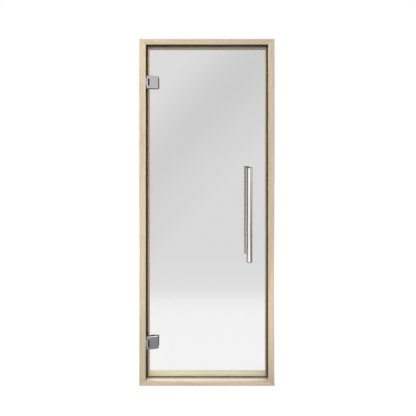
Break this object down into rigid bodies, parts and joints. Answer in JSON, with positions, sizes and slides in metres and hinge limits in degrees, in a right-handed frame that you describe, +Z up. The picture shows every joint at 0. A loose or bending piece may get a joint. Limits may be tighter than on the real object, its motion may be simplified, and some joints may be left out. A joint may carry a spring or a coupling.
{
  "type": "sauna door",
  "caption": "Hinged clear glass door in a slim pale timber frame, with two clamp hinges, a dark seal and a long tubular handle on each face.",
  "frame": {"origin": "under the middle of the sill, halfway through the depth of the frame", "axes": "+Z up, +X to the right seen from outside, -Y towards the viewer on the side the door opens to"},
  "size_m": [0.78, 0.171, 2],
  "materials": {
    "timber": "fine sanded, clear satin",
    "seal": "matt",
    "glass": "clear, polished",
    "hinge_steel": "satin",
    "handle_steel": "polished stainless steel",
    "fixings": "satin",
    "gasket": "matt",
    "washer": "semi-gloss",
    "cap": "fine satin"
  },
  "bodies": {
    "frame": {"hinge_jamb": "timber", "latch_jamb": "timber", "head_rail": "timber", "sill": "timber", "hinge_side_seal": "seal", "latch_side_seal": "seal", "head_seal": "seal", "sill_seal": "seal", "upper_frame_leaf": "hinge_steel", "upper_hinge_pin": "fixings", "upper_leaf_screw_top": "fixings", "upper_leaf_screw_bottom": "fixings", "lower_frame_leaf": "hinge_steel", "lower_hinge_pin": "fixings", "lower_leaf_screw_top": "fixings", "lower_leaf_screw_bottom": "fixings"},
    "door_leaf": {"glass_pane": "glass", "upper_front_clamp": "hinge_steel", "upper_back_clamp": "hinge_steel", "upper_front_gasket": "gasket", "upper_back_gasket": "gasket", "upper_clamp_screw_top": "fixings", "upper_clamp_screw_bottom": "fixings", "lower_front_clamp": "hinge_steel", "lower_back_clamp": "hinge_steel", "lower_front_gasket": "gasket", "lower_back_gasket": "gasket", "lower_clamp_screw_top": "fixings", "lower_clamp_screw_bottom": "fixings", "outer_handle_bar": "handle_steel", "outer_bar_cap_top": "cap", "outer_bar_cap_bottom": "cap", "outer_standoff_top": "handle_steel", "outer_standoff_bottom": "handle_steel", "outer_washer_top": "washer", "outer_washer_bottom": "washer", "inner_handle_bar": "handle_steel", "inner_bar_cap_top": "cap", "inner_bar_cap_bottom": "cap", "inner_standoff_top": "handle_steel", "inner_standoff_bottom": "handle_steel", "inner_washer_top": "washer", "inner_washer_bottom": "washer", "handle_stud_top": "fixings", "handle_stud_bottom": "fixings"}
  },
  "joints": [
    {"name": "door_swing", "type": "hinge", "parent": "frame", "child": "door_leaf", "pos_m": [-0.345, -0.025, 0.997], "axis": [0, 0, -1], "range_deg": [0, 90]}
  ]
}
